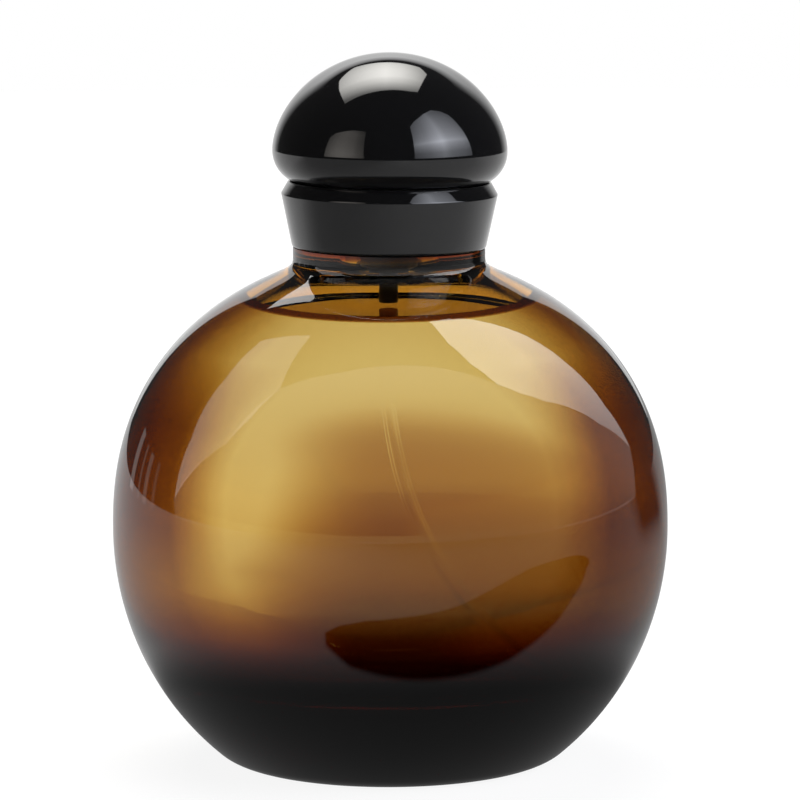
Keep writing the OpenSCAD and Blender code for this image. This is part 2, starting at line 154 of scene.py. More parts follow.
def shaded(tree, depth):
    """White light after a depth of painted brown shade, as a colour. A depth of 1 takes red down to 1/e."""
    dims = [add(tree, "ShaderNodeMath", {"operation": "POWER"}, _0=math.exp(-pull), _1=depth).outputs[0]
            for pull in SHADE_BROWN]
    return add(tree, "ShaderNodeCombineColor", _0=dims[0], _1=dims[1], _2=dims[2]).outputs[0]


def grain(tree, place, size, low=0.0, high=1.0, detail=2.0):
    """Noise of about that size in metres, mapped to run from low to high."""
    noise = add(tree, "ShaderNodeTexNoise", Vector=place, Scale=1 / size, Detail=detail)
    return add(tree, "ShaderNodeMapRange", _0=noise.outputs["Fac"], _1=0.3, _2=0.7,
               _3=low, _4=high).outputs[0]


def sheen(tree, shader, place, size, smooth, rough, detail=2.0):
    """Lets the roughness run between two values over grain of that size."""
    tree.links.new(grain(tree, place, size, smooth, rough, detail), shader.inputs["Roughness"])


def relief(tree, shader, place, size, depth, detail=2.0):
    """Raises grain of that size as relief of that depth."""
    height = grain(tree, place, size, detail=detail)
    raised = add(tree, "ShaderNodeBump", Height=height, Distance=depth, Strength=1.0)
    tree.links.new(raised.outputs[0], shader.inputs["Normal"])


def clear_body(tree, tint, density):
    """Fills a clear solid with a colour that deepens with the way that light takes through it."""
    body = add(tree, "ShaderNodeVolumeAbsorption", Color=linear(tint), Density=density)
    tree.links.new(body.outputs[0], tree.nodes["Material Output"].inputs["Volume"])


def foot_shade_at(props, height):
    """Depth of the painted brown shade at a height: a thin one that fades, and a thick one at the heel."""
    thick = props.heel_shade * max(0.0, 1 - height / props.heel_rise)
    return props.foot_shade * math.exp(-height / props.foot_shade_fade) + thick


def amber_glass(props):
    """Amber soda-lime glass, blown in a polished mould: a clear hard gloss, a body colour that
    deepens from honey to red-brown with the thickness, and the faintest waviness. Painted brown
    shade is laid into its colour: thick at the foot and thinning as it climbs, deeper where its
    surface slants to the view, and deep in the glass that stands in the closure's shade."""
    material, tree, shader, place = new_material("amber_soda_lime_glass")
    fill(shader, Transmission_Weight=1.0, IOR=1.5, Roughness=0.0)
    climb = add(tree, "ShaderNodeSeparateXYZ", Vector=place).outputs["Z"]
    shares = [i / 16 for i in range(17)]
    # Painted shade: the glass darkens towards its foot, thick at the heel and thinning as it climbs
    foot_shade = levels(tree, climb, 0.0, props.foot_shade_top, 5.0,
                   *((share, foot_shade_at(props, share * props.foot_shade_top)) for share in shares))
    # Painted shade: the glass darkens where its surface slants to the view, for the dark room seen at its
    # edges
    slant = add(tree, "ShaderNodeLayerWeight", Blend=0.5).outputs["Facing"]
    rim_shade = levels(tree, slant, 0.0, 1.0, 5.0, (0.2, 0.0), (0.236, 0.3), (0.276, 0.85), (0.34, 1.7),
                 (0.4, props.rim_shade), (1.0, props.rim_shade))
    reach = levels(tree, climb, 0.0, props.rim_shade_top, 1.0, (0.26, 0.2), (0.38, 0.38), (0.5, 0.9),
                   (0.68, 0.9), (0.74, 0.5), (0.8, 0.1), (1.0, 0.05))
    # Painted shade: the glass darkens just below the neck ring, where it stands in the closure's shade
    shade = add(tree, "ShaderNodeMapRange", _0=climb, _1=NECK.z - props.neck_fade, _2=NECK.z, _3=0.0,
                _4=props.neck_shade).outputs[0]
    edge = add(tree, "ShaderNodeMath", {"operation": "MULTIPLY_ADD"}, _0=rim_shade, _1=reach, _2=foot_shade)
    depth = add(tree, "ShaderNodeMath", PLUS, _0=edge.outputs[0], _1=shade).outputs[0]
    tree.links.new(shaded(tree, depth), shader.inputs["Base Color"])
    relief(tree, shader, place, size=9 * MM, depth=4 * MICRON, detail=1.0)
    clear_body(tree, props.glass_tint, props.glass_depth)
    return material


def aftershave(props):
    """Aftershave, mostly alcohol and water: a thin clear straw-coloured liquid, with painted
    brown shade along the edge that creeps up the glass."""
    material, tree, shader, place = new_material("straw_aftershave_liquid")
    fill(shader, Transmission_Weight=1.0, IOR=1.36, Roughness=0.0)
    climb = add(tree, "ShaderNodeSeparateXYZ", Vector=place).outputs["Z"]
    # Painted shade: the liquid darkens along its creeping edge, for the dark line that its meniscus shows
    shade = add(tree, "ShaderNodeMapRange", _0=climb, _1=props.fill + 0.1 * props.creep,
                _2=props.fill + 0.4 * props.creep, _3=0.0, _4=props.edge_shade)
    tree.links.new(shaded(tree, shade.outputs[0]), shader.inputs["Base Color"])
    clear_body(tree, props.liquid_tint, props.liquid_depth)
    return material


def gloss_black(props):
    """Black ABS from a polished mould: a deep black body under a hard mirror gloss, with the
    slow waviness of a moulded face and fine dust-like wear in the gloss."""
    material, tree, shader, place = new_material("gloss_black_abs")
    fill(shader, Base_Color=linear(props.black), IOR=1.5)
    sheen(tree, shader, place, size=0.8 * MM, smooth=0.03, rough=0.055, detail=3.0)
    relief(tree, shader, place, size=7 * MM, depth=3 * MICRON, detail=1.0)
    return material


def satin_black(props):
    """Black polypropylene with a spark-eroded face: a soft satin sheen over fine grain."""
    material, tree, shader, place = new_material("satin_black_polypropylene")
    fill(shader, Base_Color=linear(props.black), IOR=1.49)
    sheen(tree, shader, place, size=0.3 * MM, smooth=0.26, rough=0.36)
    relief(tree, shader, place, size=0.15 * MM, depth=6 * MICRON)
    return material


def natural_plastic(name, colour, roughness):
    """Polyolefin straight from the mould: waxy and slightly see-through."""
    material, tree, shader, place = new_material(name)
    fill(shader, Base_Color=linear(colour), IOR=1.49, Subsurface_Weight=0.3,
         Subsurface_Radius=(1.0, 0.9, 0.7), Subsurface_Scale=0.6 * MM)
    sheen(tree, shader, place, size=0.5 * MM, smooth=roughness - 0.05, rough=roughness + 0.05)
    relief(tree, shader, place, size=0.4 * MM, depth=4 * MICRON)
    return material


def tube_plastic():
    """Low-density polyethylene tube, extruded: clear with a slight haze. It stands in liquid, which
    hides most of its edges, so its IOR is kept close to 1."""
    material, tree, shader, place = new_material("extruded_polyethylene")
    fill(shader, Base_Color=(1, 1, 1, 1), Transmission_Weight=1.0, IOR=1.012)
    sheen(tree, shader, place, size=2 * MM, smooth=0.0, rough=0.03)
    return material


def metal(name, colour, smooth, rough, grit):
    """Bare metal with its turned or drawn surface: roughness that varies over the grit."""
    material, tree, shader, place = new_material(name)
    fill(shader, Base_Color=linear(colour), Metallic=1.0)
    sheen(tree, shader, place, grit, smooth, rough, detail=3.0)
    relief(tree, shader, place, grit, depth=2 * MICRON)
    return material


def rubber():
    """Moulded nitrile rubber: dull near-black with a fine even grain."""
    material, tree, shader, place = new_material("moulded_nitrile_rubber")
    fill(shader, Base_Color=linear("2c2c2e"), IOR=1.52)
    sheen(tree, shader, place, size=0.3 * MM, smooth=0.55, rough=0.7)
    relief(tree, shader, place, size=0.12 * MM, depth=5 * MICRON)
    return material


# Shapes ------------------------------------------------------------------------------------


def outline(points, rounds=None):
    """A bmesh of one outline [radius, height] in the XZ plane, with some corners rounded.
    Rounds maps the index of a corner to its radius."""
    mesh = bmesh.new()
    corners = [mesh.verts.new((r, 0, z)) for r, z in points]
    for a, b in zip(corners, corners[1:]):
        mesh.edges.new((a, b))
    for index, radius in (rounds or {}).items():
        bmesh.ops.bevel(mesh, geom=[corners[index]], offset=radius, offset_type="OFFSET",
                        affect="VERTICES", segments=6, profile=0.5, material=-1)
    return mesh


def copied(node):
    """A bmesh of a CAD node, with its loose triangles joined."""
    mesh = bmesh.new()
    mesh.from_mesh(frame["nodes"][node].data)
    bmesh.ops.remove_doubles(mesh, verts=mesh.verts, dist=MICRON)
    return mesh


def section(node):
    """The outline of a turned CAD node: its cut by the neck's own XZ plane, on the X side."""
    mesh = copied(node)
    mesh.transform(OFF_NECK)
    for side in (1, -1):
        bmesh.ops.bisect_plane(mesh, geom=mesh.verts[:] + mesh.edges[:] + mesh.faces[:],
                               dist=MICRON, plane_no=(0, side, 0), clear_outer=True)
    bmesh.ops.delete(mesh, geom=mesh.faces[:], context="FACES_ONLY")
    bmesh.ops.delete(mesh, geom=[v for v in mesh.verts if v.co.x < -MICRON], context="VERTS")
    return mesh


def spin(mesh, steps):
    """Turns an outline into a closed solid round the Z axis, with its faces outwards."""
    bmesh.ops.spin(mesh, geom=mesh.verts[:] + mesh.edges[:], axis=(0, 0, 1), angle=2 * math.pi,
                   steps=steps, use_merge=True)
    bmesh.ops.remove_doubles(mesh, verts=mesh.verts, dist=MICRON)
    bmesh.ops.recalc_face_normals(mesh, faces=mesh.faces[:])
    return mesh


def piece_of(mesh, name, body, slot, material, *nodes, crease=35):
    """Makes a bmesh a shown piece: smooth but for its creases, on its body, for its nodes."""
    for face in mesh.faces:
        face.smooth = True
    for edge in mesh.edges:
        if len(edge.link_faces) == 2 and edge.calc_face_angle() > math.radians(crease):
            edge.smooth = False
    data = bpy.data.meshes.new(name)
    mesh.to_mesh(data)
    mesh.free()
    piece = bpy.data.objects.new(name, data)
    bpy.context.scene.collection.objects.link(piece)
    data.materials.append(material)
    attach(piece, body)
    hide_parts(*nodes)
    return piece


def turned(node, name, body, slot, material, steps=96):
    """Turns a CAD node again, smoothly, from its own section."""
    mesh = spin(section(node), steps)
    mesh.transform(ON_NECK)
    return piece_of(mesh, name, body, slot, material, node)


def dress(material, *nodes):
    """Gives CAD nodes that keep their shape a material."""
    for node in nodes:
        frame["nodes"][node].data.materials.clear()
        frame["nodes"][node].data.materials.append(material)


def soft_max(a, b, power):
    """The larger of two radii, with a soft corner where they meet."""
    return (a ** power + b ** power) ** (1 / power)


def lower_side(width, height, middle, heel, base, steps=40):
    """The lower half of a globe from its foot to its widest point: a heel, then an ellipse."""
    def hub(t):
        normal = Vector((height * math.cos(t), -width * math.sin(t))).normalized()
        return Vector((width * math.cos(t), middle - height * math.sin(t))) - heel * normal, normal

    low, high = 0.0, math.pi / 2
    for _ in range(40):
        mid = (low + high) / 2
        low, high = (mid, high) if hub(mid)[0].y > base + heel else (low, mid)
    centre, normal = hub(low)
    turn = math.atan2(normal.y, normal.x) + math.pi / 2
    arc = [(centre.x + heel * math.sin(turn * i / 12), base + heel - heel * math.cos(turn * i / 12))
           for i in range(13)]
    side = [low * (1 - i / steps) for i in range(1, steps + 1)]
    return arc + [(width * math.cos(t), middle - height * math.sin(t)) for t in side]


def upper_side(width, rise, middle, power, neck, soft, steps=60):
    """The upper half of a globe from above its widest point to its neck."""
    shares = [math.sin(math.pi / 2 * i / steps) for i in range(1, steps + 1)]
    return [(soft_max(width * math.sqrt(1 - u ** power), neck, soft), middle + rise * u)
            for u in shares]


# Sizes and settings ------------------------------------------------------------------------


def length(name, description, default):
    """A length property, in metres."""
    return bpy.props.FloatProperty(name=name, description=description, default=default,
                                   min=0.0, subtype="DISTANCE", unit="LENGTH", precision=5)


def number(name, description, default, low=0.0, high=100.0):
    """A plain number property."""
    return bpy.props.FloatProperty(name=name, description=description, default=default,
                                   min=low, max=high)


def hex_colour(name, description, default):
    """A colour property, written as sRGB hex."""
    return bpy.props.StringProperty(name=name, description=description, default=default, maxlen=6)


class GlobeSizes(bpy.types.PropertyGroup):
    """Sizes of the blown glass and what it holds."""
    widest: length("Widest height", "Height of the widest part", 32.1 * MM)
    lower: length("Lower half height", "Half height of the lower ellipse", 39.6 * MM)
    upper: length("Upper half height", "Half height of the shoulders", 37.6 * MM)
    power: number("Shoulder power", "Power of the shoulder superellipse", 2.27)
    heel: length("Heel radius", "Radius between side and base", 6.2 * MM)
    punt: length("Punt radius", "Radius of the hollow under the base", 15.5 * MM)
    punt_depth: length("Punt depth", "Depth of the hollow under the base", 1.0 * MM)
    wall: length("Wall", "Glass thickness at the widest part", 5.2 * MM)
    crown: length("Crown", "Glass thickness at the shoulders' top", 2.8 * MM)
    floor: length("Base", "Glass thickness of the base", 13 * MM)
    corner: length("Inner corner", "Radius of the corner inside the base", 11 * MM)
    neck: length("Neck radius", "Radius of the neck's top ring", 13.1 * MM)
    throat: length("Throat radius", "Radius of the throat under the bead", 6.3 * MM)
    bead: length("Bead radius", "Radius of the bead under the ferrule", 7.5 * MM)
    bead_low: length("Bead height", "Underside of the bead above the ring", 3.2 * MM)
    finish: length("Finish height", "Top of the finish above the ring", 6.6 * MM)
    bore: length("Bore radius", "Radius of the bore through the neck", 4.5 * MM)
    bore_depth: length("Bore depth", "Depth of the bore below the ring", 4.8 * MM)
    inner_neck: length("Inner neck", "Radius that the inside narrows to at its top", 3.0 * MM)
    fill: length("Fill height", "Height of the liquid's surface", 61 * MM)
    creep: length("Meniscus", "Rise of the liquid at the wall", 0.9 * MM)
    creep_run: length("Meniscus run", "Way from the wall over which the rise falls to 1/e", 0.8 * MM)
    overlap: length("Overlap", "How far the liquid laps into the glass", 0.06 * MM)
    glass_tint: hex_colour("Glass colour", "Colour of light through the glass", "f0dc62")
    glass_depth: number("Glass depth", "Strength of the glass colour per metre", 175, 0, 5000)
    # Painted brown shade at the foot of the glass, thinning as it climbs
    foot_shade: number("Stain", "Depth of the brown stain at the foot", 4.6)
    foot_shade_fade: length("Stain fade", "Climb over which the stain thins to a third", 7.5 * MM)
    heel_shade: number("Heel stain", "Extra depth of the stain at the very foot", 5.0)
    heel_rise: length("Heel rise", "Height at which the extra stain has gone", 21 * MM)
    foot_shade_top: length("Stain top", "Height at which the stain has gone", 50 * MM)
    # Painted shade where the glass slants to the view
    rim_shade: number("Rim shade", "Depth of the brown shade where light slants into the glass", 2.7)
    rim_shade_top: length("Rim top", "Height up to which the rim shade is laid", 72 * MM)
    # Painted shade in the glass under the closure
    neck_shade: number("Neck shade", "Depth of the shade in the glass that stands in the closure", 4.0)
    neck_fade: length("Neck fade", "Climb below the ring over which that shade sets in", 1.0 * MM)
    edge_shade: number("Edge shade", "Depth of the shade along the creeping edge of the liquid", 4.0)
    liquid_tint: hex_colour("Liquid colour", "Colour of light through the liquid", "f2e2a0")
    liquid_depth: number("Liquid depth", "Strength of the liquid colour per metre", 6, 0, 5000)


class ClosureSizes(bpy.types.PropertyGroup):
    """Sizes of the tube, collar and cap."""
    tube: length("Tube radius", "Outer radius of the dip tube", 0.75 * MM)
    tube_bore: length("Tube bore", "Inner radius of the dip tube", 0.45 * MM)
    bend: length("Bend radius", "Radius of the tube's curl", 40 * MM)
    turn: bpy.props.FloatProperty(name="Tube turn", description="Angle of the tube's curl",
                                  default=math.radians(52), subtype="ANGLE", unit="ROTATION")
    reach: length("Tube reach", "How far the tube's end lies from its top", 18.8 * MM)
    dome_width: length("Dome radius", "Widest radius of the cap", neck_radius("cap_shell"))
    dome_height: length("Dome height", "Dome height above its widest part", 13.3 * MM)
    dome_low: length("Dome foot", "Height of the widest part above the lip", 4.05 * MM)
    dome_power: number("Dome power", "Power of the dome's superellipse", 1.8)
    undercut: length("Undercut", "Radius below the widest part", 4.6 * MM)
    dome_wall: length("Dome wall", "Wall of the dome", 1.5 * MM)
    lip_round: number("Lip narrowing", "Share of the wall by which the mouth narrows at the lip", 0.15)
    black: hex_colour("Black", "Body colour of the black plastic", "0a0a0b")
    natural: hex_colour("Natural", "Colour of the uncoloured plastic", "e4e2da")
    # Painted shade: a darkened copy of the natural plastic, for the pieces that stand in the shade of the neck
    # and closure
    shade_darkened: hex_colour("Smoked", "Colour of the plastic that shows through the glass", "33302b")


class StudioSettings(bpy.types.PropertyGroup):
    """The camera, the floor and the soft boxes."""
    distance: length("Camera distance", "From the camera to the point it looks at", 656 * MM)
    view_angle: bpy.props.FloatProperty(name="View angle", description="Angle across the view",
                                        default=math.radians(9.53), subtype="ANGLE", unit="ROTATION")
    climb: bpy.props.FloatProperty(name="Climb", description="Camera's angle above level",
                                   default=math.radians(8.1), subtype="ANGLE", unit="ROTATION")
    roll: bpy.props.FloatProperty(name="Roll", description="Turn of the camera about its view",
                                  default=math.radians(-0.26), subtype="ANGLE", unit="ROTATION")
    look: bpy.props.FloatVectorProperty(name="Look at", description="Point the camera looks at",
                                        default=(1.4 * MM, 0, 49.4 * MM), subtype="XYZ", unit="LENGTH",
                                        precision=5)
    left_box: number("Left box", "Radiance of the left soft box in its middle", 1.9)
    right_box: number("Right box", "Radiance of the right soft box in its middle", 11.0)
    top_box: number("Top box", "Radiance of the top soft box in its middle", 12.5)
    eye: length("Eye", "Height above the ring of the dome's part that mirrors the boxes", 18 * MM)
    neck_card: number("Neck card", "Radiance of the card that lights the glass behind the neck", 1.0)
    neck_card_tint: hex_colour("Neck card tint", "Colour of that card", "e6c066")
    patch: number("Patch", "Radiance of the small card over the left shoulder", 3.0)
    backdrop: number("Backdrop", "Radiance of the lit backdrop", 0.95)
    left_shoulder: number("Left shoulder box", "Radiance of the box over the left shoulder", 1.6)
    right_shoulder: number("Right shoulder box", "Radiance of the box over the right shoulder", 4.5)
    right_low: number("Right shoulder foot", "Radiance of that box at its foot", 1.6)
    wash: number("Wash", "Radiance of the front cloth at its top", 1.0)
    wash_low: number("Wash foot", "Radiance of the front cloth at its foot", 0.35)
    # Painted brightness of the floor that the glass mirrors, from left to right
    floor_left: number("Floor at left", "How bright gloss shows the floor to the left", 0.72)
    floor_right: number("Floor at right", "How bright gloss shows the floor to the right", 0.38)
    floor_glow: number("Floor glow", "How white the floor shows to the camera", 0.9)


# Studio ------------------------------------------------------------------------------------
# A turn is in degrees round the bottle, from the camera's side towards its right. A curve is made
# of stops, each a share of the way and a level there.

# Sheets of the floor: what the camera sees, and above it what gloss sees
FLOOR_REACH = 1.2
FLOOR_HEIGHT = -0.1 * MM
GLOSS_REACH = 1.18
GLOSS_HEIGHTS = {"closure": -0.06 * MM, "glass": -0.03 * MM}

# The painted shadow on the floor that the glass mirrors: from left to right, how far ahead of the
# bottle its middle lies in tenths of a metre, and half its depth in metres
FRONT_SHADOW_MIDDLE = ((0.0, 0.69), (0.25, 0.68), (0.5, 0.75), (0.75, 0.76), (1.0, 0.52))
FRONT_SHADOW_HALF = ((0.03, 0.0), (0.06, 0.018), (0.1, 0.026), (0.16, 0.03), (0.29, 0.036), (0.4, 0.043),
             (0.57, 0.051), (0.7, 0.054), (0.8, 0.051), (0.87, 0.042), (0.92, 0.028), (0.96, 0.0))

# Depth of the painted shadow that shows through glass along its middle, and of the painted darker ring close
# round the foot
PAINTED_SHADOW_REACH = 1.2
PAINTED_SHADOW_MIDDLE = ((0.1, 0.0), (0.106, 0.1), (0.115, 0.58), (0.137, 0.82), (0.163, 1.18), (0.19, 1.28),
                 (0.22, 1.27), (0.33, 1.42), (0.48, 1.6), (0.7, 2.05), (1.0, 2.4))
CONTACT_REACH = 0.1
PAINTED_SHADOW_CONTACT = ((0.38, 4.0), (0.5, 2.0), (0.65, 0.6), (0.8, 0.0))

# Walls behind the bottle, as [reach, half of their turn in degrees, height]
WIDE_WALL = (1.19, 42, 1.0)
NARROW_WALL = (1.15, 20, 0.6)

# The wide wall's brightness from left to right, and from its foot up
WALL_ACROSS = (-0.78, 0.78, ((0.0, 0.0), (0.17, 1.0), (0.5, 1.0), (0.83, 0.8), (1.0, 0.0)))
WALL_UP = (0.08, 1.02, ((0.0, 1.0), (0.27, 1.05), (0.45, 1.4), (0.66, 1.95), (0.84, 1.35), (0.98, 0.3)))

# Boxes beside the closure: side, colour, corners as shares of the reach along and up, and the
# brightness along and up
SIDE_BOX_REACH = 0.65
SIDE_BOX_TURN = 50
SIDE_BOXES = {
    "left": (
        -1, "fff8f0",
        ((-0.47, 0.0), (0.29, 0.0), (0.27, 0.5), (0.2, 0.62), (-0.1, 0.79), (-0.42, 0.88)),
        ((0.0, 0.3), (0.2, 0.55), (0.32, 0.8), (0.55, 1.0), (0.7, 0.95), (0.85, 0.7), (1.0, 0.4)),
        ((0.0, 1.0), (0.15, 1.05), (0.35, 0.85), (0.6, 0.68), (0.8, 0.66), (1.0, 0.35))),
    "right": (
        1, "f0f4ff",
        ((-0.49, 0.0), (0.76, 0.0), (0.72, 1.2), (0.6, 1.42), (0.37, 1.58), (0.08, 1.48),
         (-0.3, 1.25), (-0.45, 1.1)),
        ((0.0, 0.28), (0.13, 0.45), (0.25, 0.6), (0.35, 0.8), (0.47, 1.0), (0.58, 0.72), (0.7, 0.6),
         (0.85, 0.47), (1.0, 0.3)),
        ((0.0, 0.27), (0.1, 0.34), (0.18, 0.58), (0.24, 0.8), (0.27, 1.0), (0.33, 0.78), (0.4, 0.65),
         (0.5, 0.52), (0.64, 0.42), (0.9, 0.26)))}

# The box above and behind the closure: corners as shares of its height, and its brightness
# from left to right and from front to back
TOP_BOX_HEIGHT = 0.8
TOP_BOX = ((-0.62, -0.03), (-0.4, 0.0), (0.0, 0.03), (0.25, 0.05), (0.34, 0.08), (0.39, 0.75), (0.3, 1.02),
           (-0.1, 1.1), (-0.35, 1.15), (-0.55, 0.75), (-0.6, 0.4))
TOP_ACROSS = (-0.54, 0.31, ((0.0, 0.4), (0.2, 0.6), (0.45, 0.86), (0.6, 1.0), (0.75, 0.85), (0.9, 0.55),
                            (1.0, 0.35)))
TOP_BACK = (-0.03, 0.92, ((0.0, 0.2), (0.06, 0.25), (0.13, 0.52), (0.24, 0.84), (0.37, 1.0), (0.5, 0.85),
                          (0.68, 0.62), (0.85, 0.45), (1.0, 0.3)))

# Boxes over the shoulders of the glass, and the wash between them, as corners in metres from the
# middle of the bottle's foot. The wash runs down to its foot on the floor.
RIGHT_SHOULDER = (
    (0.15, 0.227, 0.852), (0.244, 0.291, 0.727), (0.388, 0.329, 0.566), (0.503, 0.34, 0.447),
    (0.626, 0.384, 0.302), (0.726, 0.497, 0.149), (0.692, 0.256, 0.299), (0.603, 0.005, 0.509),
    (0.548, -0.072, 0.6), (0.473, -0.115, 0.695), (0.35, -0.054, 0.788), (0.24, 0.061, 0.842))
LEFT_SHOULDER = (
    (-0.294, 0.17, 0.789), (-0.412, 0.283, 0.631), (-0.534, 0.185, 0.503), (-0.716, 0.118, 0.299),
    (-0.908, 0.136, 0.07), (-0.691, -0.135, 0.367), (-0.584, -0.158, 0.497), (-0.456, -0.123, 0.643))
WASH = (
    (-0.88, 0.14, 0.07), (-0.691, -0.135, 0.367), (-0.456, -0.123, 0.643), (-0.21, -0.18, 0.76),
    (0.1, -0.16, 0.79), (0.473, -0.115, 0.695), (0.548, -0.072, 0.6), (0.603, 0.005, 0.509),
    (0.655, 0.138, 0.393), (0.692, 0.256, 0.299), (0.726, 0.497, 0.149))
WASH_FOOT = ((-0.95, 0.12), (-0.95, -0.3), (-0.75, -0.75), (-0.35, -0.95), (0.2, -0.98), (0.7, -0.75),
             (0.82, -0.55), (0.9, -0.3), (0.9, -0.1), (0.9, 0.15), (0.85, 0.5))

# Thin strips low down at the back left, as [turn, width in degrees, radiance]
STREAKS = ((-134, 4, 0.45), (-126, 1.5, 0.25), (-120, 3, 0.35), (-113, 2, 0.2))
STREAK_REACH = 0.7
STREAK_HEIGHT = 0.13

# The patch over the left shoulder: a spot on the glass, and the ways from it to the corners
PATCH_FROM = Vector((-11, -13, 66)) * MM
PATCH_REACH = 0.8
PATCH = ((-0.11, 0.84, 0.53), (-0.14, 0.73, 0.67), (-0.27, 0.6, 0.76), (-0.38, 0.69, 0.62))

# The warm card close behind the neck, seen through the glass: [across, height] of its corners in
# millimetres
NECK_CARD_BACK = 45 * MM
NECK_CARD = ((-42, 45), (42, 45), (42, 76), (-42, 76))

# Depth of the dark room that shows through glass, from left to right and from level up, painted as brown shade
# that is deepest in the middle
ROOM_SHADE_ACROSS = ((0.1, 0.6), (0.25, 1.3), (0.42, 1.5), (0.47, 2.4), (0.53, 2.4), (0.57, 1.2), (0.62, 0.4),
               (0.66, 0.15), (1.0, 0.1))
ROOM_SHADE_UP = ((0.0, 0.0), (0.3, 0.4), (0.6, 4.0), (1.0, 5.0))


def toward(turn):
    """The level direction at a turn round the bottle."""
    turn = math.radians(turn)
    return Vector((math.sin(turn), -math.cos(turn), 0))


# Operators ---------------------------------------------------------------------------------


class BOTTLE_OT_stage(bpy.types.Operator):
    """Sets up the camera, the white floor, the backdrop and the soft boxes"""
    bl_idname = "bottle.stage"
    bl_label = "Stage"

    def execute(self, context):
        studio = context.scene.bottle_studio
        self.camera(context.scene, studio)
        self.floor(studio)
        self.floor_gloss(studio)
        self.backdrop(studio)
        self.closure_boxes(studio)
        self.globe_boxes(studio)
        self.neck_card(studio)
        self.world(context.scene)
        context.scene.view_settings.view_transform = "Standard"
        return {"FINISHED"}

    def camera(self, scene, studio):
        """Camera towards +Y, a little above the bottle, turned by the roll about its view."""
        data = bpy.data.cameras.new("studio_camera")
        data.sensor_width = 36
        data.lens = data.sensor_width / 2 / math.tan(studio.view_angle / 2)
        data.clip_start = 10 * MM
        camera = bpy.data.objects.new("studio_camera", data)
        scene.collection.objects.link(camera)
        aim = Matrix.Rotation(math.pi / 2 - studio.climb, 4, "X") @ Matrix.Rotation(studio.roll, 4, "Z")
        back = aim.to_3x3() @ Vector((0, 0, studio.distance))
        camera.matrix_world = Matrix.Translation(Vector(studio.look) + back) @ aim
        scene.camera = camera

    def staged(self, name, mesh, material, *rays):
        """Makes a bmesh a staged object that only the named kinds of ray see."""
        data = bpy.data.meshes.new(name)
        mesh.to_mesh(data)
        mesh.free()
        piece = bpy.data.objects.new(name, data)
        bpy.context.scene.collection.objects.link(piece)
        data.materials.append(material)
        for ray in ("camera", "glossy", "transmission", "diffuse", "shadow"):
            setattr(piece, "visible_" + ray, ray in rays)
        return piece

    def card(self, name, corners, material, *rays):
        """A flat staged card through its corners."""
        mesh = bmesh.new()
        mesh.faces.new([mesh.verts.new(corner) for corner in corners])
        return self.staged("studio_" + name, mesh, material, *rays)

    def disc(self, name, reach, height, material, *rays):
        """A round staged sheet of the floor."""
        mesh = bmesh.new()
        bmesh.ops.create_circle(mesh, cap_ends=True, segments=96, radius=reach,
                                matrix=Matrix.Translation((0, 0, height)))
        return self.staged(name, mesh, material, *rays)

    def wall(self, name, reach, half_turn, height, material):
        """A curved wall behind the bottle, standing on the floor, seen only in gloss."""
        mesh = bmesh.new()
        half_turn = math.radians(half_turn)
        start = Matrix.Rotation(half_turn, 2) @ Vector((0, reach))
        mesh.edges.new([mesh.verts.new((start.x, start.y, z)) for z in (0, height)])
        bmesh.ops.spin(mesh, geom=mesh.verts[:] + mesh.edges[:], axis=(0, 0, 1), angle=-2 * half_turn,
                       steps=64)
        return self.staged(name, mesh, material, "glossy")

    def aim(self, cards, state):
        """Links cards to the glass and its liquid, or to all but these."""
        group = bpy.data.collections.new("glass_" + state.lower())
        for name in ("blown_glass", "liquid"):
            group.objects.link(bpy.data.objects[name])
        for link in group.collection_objects:
            link.light_linking.link_state = state
        for card in cards:
            card.light_linking.receiver_collection = group

    def glow(self, name, strength=1.0, colour="ffffff"):
        """A glowing cloth. It doesn't hide the cloths behind it, so that each is seen by the pieces
        that it is aimed at alone."""
        material = bpy.data.materials.new(name)
        material.use_nodes = True
        tree = material.node_tree
        tree.nodes.remove(next(n for n in tree.nodes if n.type == "BSDF_PRINCIPLED"))
        light = add(tree, "ShaderNodeEmission", Color=linear(colour), Strength=strength)
        clear = add(tree, "ShaderNodeBsdfTransparent")
        both = add(tree, "ShaderNodeAddShader", _0=light.outputs[0], _1=clear.outputs[0])
        tree.links.new(both.outputs[0], tree.nodes["Material Output"].inputs["Surface"])
        return material

    def paint(self, material, strength, *curves):
        """Gives a glowing cloth a brightness that follows curves, each along a direction: its
        direction, where it starts and ends, and its stops."""
        tree = material.node_tree
        place = add(tree, "ShaderNodeTexCoord").outputs["Object"]
        level = strength
        for direction, (low, high, stops) in curves:
            way = add(tree, "ShaderNodeVectorMath", {"operation": "DOT_PRODUCT"}, _0=place, _1=direction)
            curve = levels(tree, way.outputs["Value"], low, high, 2.0, *stops)
            level = add(tree, "ShaderNodeMath", TIMES, _0=curve, _1=level).outputs[0]
        tree.links.new(level, tree.nodes["Emission"].inputs["Strength"])
        return material

    def fade(self, name, low, high, weak, strong):
        """A glowing cloth that brightens from one height to another."""
        material = self.glow(name)
        tree = material.node_tree
        place = add(tree, "ShaderNodeTexCoord").outputs["Object"]
        height = add(tree, "ShaderNodeSeparateXYZ", Vector=place).outputs["Z"]
        level = add(tree, "ShaderNodeMapRange", _0=height, _1=low, _2=high, _3=weak, _4=strong).outputs[0]
        tree.links.new(level, tree.nodes["Emission"].inputs["Strength"])
        return material

